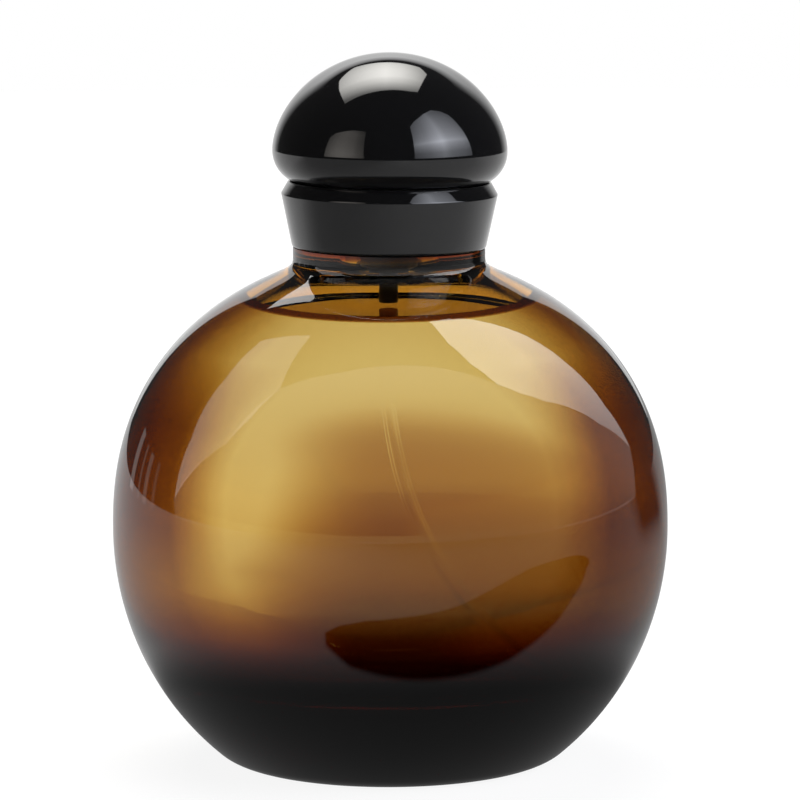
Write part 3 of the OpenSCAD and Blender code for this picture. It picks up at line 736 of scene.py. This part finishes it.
    def floor(self, studio):
        """White sweep of matt board that keeps the bottle's shadow and shows white. Through glass it
        shows a painted shadow instead.
        """
        material, tree, shader, place = new_material("white_sweep_board")
        fill(shader, Base_Color=linear("e6e6e6"), Roughness=1.0, Specular_IOR_Level=0.0)
        path = add(tree, "ShaderNodeLightPath")
        dark = add(tree, "ShaderNodeEmission", Color=(0, 0, 0, 1))
        body = add(tree, "ShaderNodeMixShader", _0=path.outputs["Is Glossy Ray"], _1=shader.outputs[0],
                   _2=dark.outputs[0])
        reach = add(tree, "ShaderNodeVectorMath", {"operation": "LENGTH"}, _0=place).outputs["Value"]
        haze = add(tree, "ShaderNodeMapRange", _0=reach, _1=0.3, _2=0.8, _3=studio.floor_glow, _4=1.0)
        white = add(tree, "ShaderNodeEmission", Color=(1, 1, 1, 1), Strength=haze.outputs[0])
        board = add(tree, "ShaderNodeBsdfDiffuse", Color=(0.12, 0.12, 0.12, 1))
        seen = add(tree, "ShaderNodeAddShader", _0=white.outputs[0], _1=board.outputs[0])
        mix = add(tree, "ShaderNodeMixShader", _0=path.outputs["Is Camera Ray"],
                  _1=body.outputs[0], _2=seen.outputs[0])
        # Painted shadow of the bottle on the floor, seen only through glass
        painted_shadow = add(tree, "ShaderNodeEmission", Color=self.painted_thrown_shadow(tree, place), Strength=1.0)
        through = add(tree, "ShaderNodeMixShader", _0=path.outputs["Is Transmission Ray"],
                      _1=mix.outputs[0], _2=painted_shadow.outputs[0])
        tree.links.new(through.outputs[0], tree.nodes["Material Output"].inputs["Surface"])
        self.disc("studio_floor", FLOOR_REACH, FLOOR_HEIGHT, material, "camera", "glossy", "transmission",
                  "diffuse", "shadow")

    def painted_thrown_shadow(self, tree, place):
        """What shows through glass: the board with a painted shadow of the bottle on it, which starts as
        a narrow wedge behind its bright focus and widens away from the light, and a painted dark ring round
        the foot."""
        across, along, _ = add(tree, "ShaderNodeSeparateXYZ", Vector=place).outputs
        reach = add(tree, "ShaderNodeVectorMath", {"operation": "LENGTH"}, _0=place).outputs["Value"]
        side = add(tree, "ShaderNodeMath", {"operation": "DIVIDE"}, _0=across, _1=reach).outputs[0]
        contact = levels(tree, reach, 0.0, CONTACT_REACH, 4.0, *PAINTED_SHADOW_CONTACT)
        wedge = levels(tree, reach, 0.0, PAINTED_SHADOW_REACH, 4.0, *PAINTED_SHADOW_MIDDLE)
        left = add(tree, "ShaderNodeMapRange", _0=reach, _1=0.15, _2=0.3, _3=0.11, _4=0.26)
        right = add(tree, "ShaderNodeMapRange", _0=reach, _1=0.11, _2=0.26, _3=-0.24, _4=-1.2)
        shares = [add(tree, "ShaderNodeMapRange", SOFT, _0=side, _1=0.0, _2=edge.outputs[0], _3=1.0, _4=0.0)
                  for edge in (left, right)]
        shares.append(add(tree, "ShaderNodeMapRange", _0=along, _1=-0.02, _2=0.06))
        for share in shares:
            wedge = add(tree, "ShaderNodeMath", TIMES, _0=wedge, _1=share.outputs[0]).outputs[0]
        depth = add(tree, "ShaderNodeMath", PLUS, _0=wedge, _1=contact).outputs[0]
        return shaded(tree, depth)

    def floor_gloss(self, studio):
        """What gloss sees of the floor, with painted light and shade: one sheet for the closure, and one for
        the glass.
        """
        for name, state in (("closure", "EXCLUDE"), ("glass", "INCLUDE")):
            material = self.glow("painted_floor_" + name)
            tree = material.node_tree
            place = add(tree, "ShaderNodeTexCoord").outputs["Object"]
            across, along, _ = add(tree, "ShaderNodeSeparateXYZ", Vector=place).outputs
            if name == "closure":
                level = self.closure_floor(tree, across, along)
            else:
                level = self.glass_floor(tree, studio, place, across, along)
            tree.links.new(level, tree.nodes["Emission"].inputs["Strength"])
            sheet = self.disc("studio_floor_" + name, GLOSS_REACH, GLOSS_HEIGHTS[name], material, "glossy")
            self.aim([sheet], state)

    def closure_floor(self, tree, across, along):
        """Painted brightness of the floor in the closure's gloss: brightest behind the bottle, dimmer in front
        of it.
        """
        front = add(tree, "ShaderNodeMapRange", SOFT, _0=across, _1=-0.15, _2=0.15, _3=0.45, _4=0.8)
        return add(tree, "ShaderNodeMapRange", SOFT, _0=along, _1=-0.03, _2=0.12, _3=front.outputs[0],
                   _4=1.0).outputs[0]

    def glass_floor(self, tree, studio, place, across, along):
        """Painted brightness of the floor in the gloss of the glass: brighter to the left, with the soft
        painted shadow of the bottle laid in front, painted shade close to the glass, dimmer far ahead
        of it, and a painted dark sector behind the bottle to its right."""
        open_floor = add(tree, "ShaderNodeMapRange", SOFT, _0=across, _1=-0.2, _2=0.12,
                         _3=studio.floor_left, _4=studio.floor_right).outputs[0]
        # Painted shadow of the bottle on the floor ahead, as the glass mirrors it
        middle = levels(tree, across, -0.03, 0.23, 1.0, *FRONT_SHADOW_MIDDLE)
        half = levels(tree, across, -0.04, 0.24, 0.06, *FRONT_SHADOW_HALF)
        off = add(tree, "ShaderNodeMath", {"operation": "MULTIPLY_ADD"}, _0=middle, _1=0.1, _2=along)
        far = add(tree, "ShaderNodeMath", {"operation": "ABSOLUTE"}, _0=off.outputs[0])
        out = add(tree, "ShaderNodeMath", {"operation": "SUBTRACT"}, _0=far.outputs[0], _1=half)
        level = add(tree, "ShaderNodeMapRange", SOFT, _0=out.outputs[0], _1=-0.0115, _2=-0.008, _3=0.0,
                    _4=open_floor).outputs[0]
        reach = add(tree, "ShaderNodeVectorMath", {"operation": "LENGTH"}, _0=place).outputs["Value"]
        turn = add(tree, "ShaderNodeMath", {"operation": "ARCTAN2"}, _0=along, _1=across).outputs[0]
        sector = levels(tree, turn, 0.4, 1.0, 1.0, (0.0, 1.0), (0.25, 0.1), (0.75, 0.1), (1.0, 1.0))
        for value, low, high, start, end in ((reach, 0.042, 0.062, 0.35, 1.0),
                                             (along, -0.85, -0.15, 0.5, 1.0),
                                             (reach, 0.16, 0.3, 1.0, sector)):
            share = add(tree, "ShaderNodeMapRange", SOFT, _0=value, _1=low, _2=high, _3=start, _4=end)
            level = add(tree, "ShaderNodeMath", TIMES, _0=share.outputs[0], _1=level).outputs[0]
        return level

    def backdrop(self, studio):
        """White walls: a wide one for the closure, and a narrower one for the glass."""
        cloth = self.paint(self.glow("lit_backdrop"), studio.backdrop, ((1, 0, 0), WALL_ACROSS),
                           ((0, 0, 1), WALL_UP))
        wide = self.wall("studio_backdrop", *WIDE_WALL, cloth)
        narrow = self.wall("studio_backdrop_glass", *NARROW_WALL,
                           self.glow("lit_backdrop_glass", studio.backdrop))
        self.aim([wide], "EXCLUDE")
        self.aim([narrow], "INCLUDE")

    def closure_boxes(self, studio):
        """Soft boxes for the closure: one to each side in front, and one overhead and behind."""
        eye = Vector((0, 0, NECK.z + studio.eye))
        cards = []
        for name, (side, colour, spans, across, up) in SIDE_BOXES.items():
            facing = toward(side * SIDE_BOX_TURN)
            along = toward(side * (SIDE_BOX_TURN + 90))
            corners = [eye + SIDE_BOX_REACH * (facing + u * along + Vector((0, 0, w))) for u, w in spans]
            ends = [SIDE_BOX_REACH * pick(u for u, w in spans) for pick in (min, max)]
            top = max(corner.z for corner in corners)
            cloth = self.paint(self.glow("soft_box_" + name, colour=colour), getattr(studio, name + "_box"),
                               (along, (*ends, across)), ((0, 0, 1), (eye.z, top, up)))
            cards.append(self.card("box_" + name, corners, cloth, "glossy", "diffuse"))
        corners = [eye + Vector((x, y, 1)) * TOP_BOX_HEIGHT for x, y in TOP_BOX]
        cloth = self.paint(self.glow("soft_box_top", colour="fffdf8"), studio.top_box,
                           ((1, 0, 0), TOP_ACROSS), ((0, 1, 0), TOP_BACK))
        cards.append(self.card("box_top", corners, cloth, "glossy", "diffuse"))
        self.aim(cards, "EXCLUDE")

    def globe_boxes(self, studio):
        """Lights that are flagged off the closure: a box over each shoulder of the glass, a wash
        between them down to the floor, thin strips at the left and a small patch."""
        mesh = bmesh.new()
        high = [mesh.verts.new(corner) for corner in WASH]
        low = [mesh.verts.new((x, y, 0)) for x, y in WASH_FOOT]
        for k in range(len(high) - 1):
            mesh.faces.new((low[k], low[k + 1], high[k + 1], high[k]))
        cloth = self.fade("front_wash", 0.0, 0.8, studio.wash_low, studio.wash)
        right = self.fade("shoulder_box_right", 0.2, 0.6, studio.right_low, studio.right_shoulder)
        left = self.glow("shoulder_box_left", studio.left_shoulder)
        cards = [self.staged("studio_wash", mesh, cloth, "glossy"),
                 self.card("shoulder_right", RIGHT_SHOULDER, right, "glossy"),
                 self.card("shoulder_left", LEFT_SHOULDER, left, "glossy")]
        rise = Vector((0, 0, STREAK_HEIGHT))
        for k, (turn, width, strength) in enumerate(STREAKS, 1):
            start, end = [STREAK_REACH * toward(turn + side * width / 2) for side in (-1, 1)]
            cards.append(self.card("streak_%d" % k, (start, end, end + rise, start + rise),
                                   self.glow("streak_%d" % k, strength), "glossy"))
        places = [PATCH_FROM + PATCH_REACH * Vector(way) for way in PATCH]
        cards.append(self.card("patch", places, self.glow("patch_card", studio.patch), "glossy"))
        self.aim(cards, "INCLUDE")

    def neck_card(self, studio):
        """A warm card close behind the neck, which only shows through the glass."""
        corners = [(x * MM, NECK_CARD_BACK, z * MM) for x, z in NECK_CARD]
        self.card("neck_card", corners, self.glow("neck_card", studio.neck_card, studio.neck_card_tint),
                  "transmission")

    def world(self, scene):
        """White to the camera, a dim room to gloss, and through glass a dark room with painted brown shade."""
        world = bpy.data.worlds.new("studio_world")
        scene.world = world
        world.use_nodes = True
        tree = world.node_tree
        path = add(tree, "ShaderNodeLightPath")
        dim = tree.nodes["Background"]
        fill(dim, Color=(0.5, 0.5, 0.5, 1), Strength=0.1)
        way = add(tree, "ShaderNodeTexCoord").outputs["Generated"]
        across, _, up = add(tree, "ShaderNodeSeparateXYZ", Vector=way).outputs
        # Painted brown shade of the room seen through glass: deepest in the middle and above level
        wedge = levels(tree, across, -1.0, 1.0, 4.0, *ROOM_SHADE_ACROSS)
        rise = levels(tree, up, 0.0, 0.4, 6.0, *ROOM_SHADE_UP)
        depth = add(tree, "ShaderNodeMath", PLUS, _0=wedge, _1=rise).outputs[0]
        deep = add(tree, "ShaderNodeBackground", Color=shaded(tree, depth), Strength=1.0)
        white = add(tree, "ShaderNodeBackground", Color=(1, 1, 1, 1), Strength=1.0)
        through = add(tree, "ShaderNodeMixShader", _0=path.outputs["Is Transmission Ray"],
                      _1=dim.outputs[0], _2=deep.outputs[0])
        mix = add(tree, "ShaderNodeMixShader", _0=path.outputs["Is Camera Ray"],
                  _1=through.outputs[0], _2=white.outputs[0])
        tree.links.new(mix.outputs[0], tree.nodes["World Output"].inputs["Surface"])


class BOTTLE_OT_globe(bpy.types.Operator):
    """Blows the glass globe with its neck finish"""
    bl_idname = "bottle.globe"
    bl_label = "Glass"

    def execute(self, context):
        size = context.scene.bottle_globe
        half = (GLASS_HIGH.x - GLASS_LOW.x) / 2
        ring = NECK.z
        punt = [(0, size.punt_depth), (size.punt - size.punt_depth, size.punt_depth), (size.punt, 0)]
        outside = lower_side(half, size.lower, size.widest, size.heel, 0)
        outside += [p for p in upper_side(half, size.upper, size.widest, size.power, size.neck, 12)
                    if p[1] < ring - 0.05 * MM]
        finish = [(size.neck, ring), (size.throat, ring), (size.throat, ring + size.bead_low),
                  (size.bead, ring + size.bead_low), (size.bead, ring + size.finish),
                  (size.bore, ring + size.finish), (size.bore, ring - size.bore_depth)]
        inside = [p for p in cavity(size, 0) if p[0] > size.bore or p[1] < size.widest]
        while inside[-1][1] > finish[-1][1]:
            inside.pop()
        points = punt + outside + finish + inside[::-1]
        mesh = outline(points, {len(punt + outside) + i: r for i, r in
                                ((3, 0.5 * MM), (4, 0.6 * MM))})
        spin(mesh, 256)
        lean = ON_NECK @ Matrix.Translation((0, 0, -ring))
        bmesh.ops.transform(mesh, matrix=lean, verts=[v for v in mesh.verts if v.co.z > ring - MICRON])
        piece_of(mesh, "blown_glass", "bottle", "amber_glass", amber_glass(size), "glass_bottle",
                 crease=40)
        return {"FINISHED"}


def cavity(size, grow):
    """The inside of the glass, grown outwards into it by a lap."""
    half = (GLASS_HIGH.x - GLASS_LOW.x) / 2 - size.wall + grow
    rise = size.upper - size.crown + grow
    return ([(0, size.floor - grow)]
            + lower_side(half, size.lower - size.wall + grow, size.widest, size.corner + grow,
                         size.floor - grow)
            + upper_side(half, rise, size.widest, size.power, size.inner_neck + grow, 6))


class BOTTLE_OT_liquid(bpy.types.Operator):
    """Fills the globe, with the liquid creeping up its wall"""
    bl_idname = "bottle.liquid"
    bl_label = "Liquid"

    def execute(self, context):
        size = context.scene.bottle_globe
        wet = [p for p in cavity(size, size.overlap) if p[1] < size.fill + size.creep]
        edge = wet[-1][0]
        surface = [(edge * (1 - i / 40), size.fill + size.creep * math.exp(-edge * i / 40 / size.creep_run))
                   for i in range(1, 41)]
        mesh = spin(outline(wet + surface), 192)
        piece_of(mesh, "liquid", "bottle", "aftershave_liquid", aftershave(size), "liquid_fill")
        return {"FINISHED"}


class BOTTLE_OT_tube(bpy.types.Operator):
    """Draws the dip tube down to the floor of the glass"""
    bl_idname = "bottle.tube"
    bl_label = "Dip tube"

    def execute(self, context):
        size = context.scene.bottle_closure
        top = neck_span("dip_tube")[1]
        low = neck_span("dip_tube")[0] + size.tube * math.sin(size.turn)
        tail = (size.reach - size.bend * (1 - math.cos(size.turn))) / math.sin(size.turn)
        bend_top = low + tail * math.cos(size.turn) + size.bend * math.sin(size.turn)
        mesh = bmesh.new()
        ends = [[], []]
        for radius in (size.tube, size.tube_bore):
            ring = bmesh.ops.create_circle(mesh, segments=24, radius=radius,
                                           matrix=Matrix.Translation((0, 0, top)))["verts"]
            loop = list({e for v in ring for e in v.link_edges})
            ends[0] += loop
            made = bmesh.ops.extrude_edge_only(mesh, edges=loop)["geom"]
            bmesh.ops.translate(mesh, vec=(0, 0, bend_top - top),
                                verts=[g for g in made if isinstance(g, bmesh.types.BMVert)])
            loop = [g for g in made if isinstance(g, bmesh.types.BMEdge)]
            made = bmesh.ops.spin(mesh, geom=loop + list({v for e in loop for v in e.verts}),
                                  cent=(size.bend, 0, bend_top), axis=(0, 1, 0),
                                  angle=-size.turn, steps=48)["geom_last"]
            loop = [g for g in made if isinstance(g, bmesh.types.BMEdge)]
            made = bmesh.ops.extrude_edge_only(mesh, edges=loop)["geom"]
            bmesh.ops.translate(mesh, vec=(tail * math.sin(size.turn), 0, -tail * math.cos(size.turn)),
                                verts=[g for g in made if isinstance(g, bmesh.types.BMVert)])
            ends[1] += [g for g in made if isinstance(g, bmesh.types.BMEdge)]
        for edges in ends:
            bmesh.ops.bridge_loops(mesh, edges=edges)
        bmesh.ops.recalc_face_normals(mesh, faces=mesh.faces[:])
        mesh.transform(ON_NECK)
        piece_of(mesh, "drawn_dip_tube", "bottle", "dip_tube_polyethylene", tube_plastic(), "dip_tube")
        return {"FINISHED"}


class BOTTLE_OT_pump(bpy.types.Operator):
    """Turns the pump's moulded pieces and dresses its small ones"""
    bl_idname = "bottle.pump"
    bl_label = "Pump"

    def execute(self, context):
        size = context.scene.bottle_closure
        natural = natural_plastic("natural_polypropylene", size.natural, 0.35)
        # Painted shade: the housing and sleeve get a darkened copy of the natural plastic
        shade_darkened = natural_plastic("shade_darkened_polypropylene", size.shade_darkened, 0.35)
        for node, name in (("pump_housing", "moulded_housing"), ("collar_sleeve", "moulded_sleeve")):
            turned(node, name, "bottle", "natural_polypropylene", shade_darkened)
        turned("crimp_ferrule", "drawn_ferrule", "bottle", "ferrule_aluminium",
               metal("drawn_aluminium", "d8d9dc", 0.16, 0.26, 0.2 * MM))
        dress(natural, "pump_stem", "stem_guide")
        dress(natural_plastic("milky_polyethylene", "efeee8", 0.42), "piston")
        dress(metal("polished_stainless_steel", "cbccd0", 0.05, 0.12, 0.1 * MM), "valve_ball")
        dress(rubber(), "neck_gasket", "stem_gasket")
        dress(satin_black(size), "actuator_button")
        dress(gloss_black(size), "nozzle_insert")
        self.spring()
        return {"FINISHED"}

    def spring(self):
        """The wound spring: the CAD node's mesh, joined, smooth and dressed in spring steel."""
        wire = metal("spring_stainless_steel", "c4c5c8", 0.18, 0.3, 0.1 * MM)
        coil = piece_of(copied("return_spring"), "wound_spring", "bottle", "stainless_steel", wire,
                        "return_spring", crease=60)
        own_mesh(coil)


class BOTTLE_OT_collar(bpy.types.Operator):
    """Turns the flared gloss collar"""
    bl_idname = "bottle.collar"
    bl_label = "Collar"

    def execute(self, context):
        turned("collar_shell", "flared_collar", "bottle", "gloss_black_plastic",
               gloss_black(context.scene.bottle_closure), steps=192)
        return {"FINISHED"}


class BOTTLE_OT_cap(bpy.types.Operator):
    """Turns the domed overcap and its liner"""
    bl_idname = "bottle.cap"
    bl_label = "Cap"

    def dome(self, size, inset):
        """Outline of the dome from its lip to its top, inset by a wall."""
        under = size.undercut - inset
        turn = math.asin(size.dome_low / size.undercut)
        middle = LIP_LOW + size.dome_low
        cove = [turn * (i / 16 - 1) for i in range(17)]
        shares = [math.sin(math.pi / 2 * i / 64) for i in range(1, 65)]
        return ([(size.dome_width - size.undercut + under * math.cos(t), middle + under * math.sin(t))
                 for t in cove]
                + [((size.dome_width - inset) * math.sqrt(1 - s ** size.dome_power),
                    middle + (size.dome_height - inset) * s) for s in shares])

    def execute(self, context):
        size = context.scene.bottle_closure
        inner = self.dome(size, size.dome_wall)
        mouth = inner[0][0] - size.lip_round * size.dome_wall
        mesh = spin(outline(self.dome(size, 0) + inner[::-1] + [(mouth, LIP_LOW)]), 256)
        mesh.transform(ON_NECK)
        piece_of(mesh, "domed_cap", "cap", "gloss_black_plastic", bpy.data.materials["gloss_black_abs"],
                 "cap_shell")
        turned("cap_liner", "moulded_liner", "cap", "liner_polypropylene",
               bpy.data.materials["natural_polypropylene"])
        return {"FINISHED"}


STEPS = (BOTTLE_OT_globe, BOTTLE_OT_liquid, BOTTLE_OT_tube, BOTTLE_OT_pump, BOTTLE_OT_collar,
         BOTTLE_OT_cap, BOTTLE_OT_stage)


class BOTTLE_PT_panel(bpy.types.Panel):
    """Lists the steps that build the bottle"""
    bl_idname = "BOTTLE_PT_panel"
    bl_label = "Spray bottle"
    bl_space_type = "VIEW_3D"
    bl_region_type = "UI"
    bl_category = "Bottle"

    def draw(self, context):
        for step in STEPS:
            self.layout.operator(step.bl_idname)


GROUPS = {"bottle_globe": GlobeSizes, "bottle_closure": ClosureSizes, "bottle_studio": StudioSettings}
CLASSES = (*GROUPS.values(), *STEPS, BOTTLE_PT_panel)


def register():
    """Registers the classes and hangs the settings on the scene."""
    for cls in CLASSES:
        bpy.utils.register_class(cls)
    for name, group in GROUPS.items():
        setattr(bpy.types.Scene, name, bpy.props.PointerProperty(type=group))


def unregister():
    """Takes the settings and classes away again."""
    for name in GROUPS:
        delattr(bpy.types.Scene, name)
    for cls in reversed(CLASSES):
        bpy.utils.unregister_class(cls)


def main():
    """Builds the studio and every piece."""
    register()
    for step in STEPS:
        group, name = step.bl_idname.split(".")
        getattr(getattr(bpy.ops, group), name)()


if __name__ == "__main__":
    main()
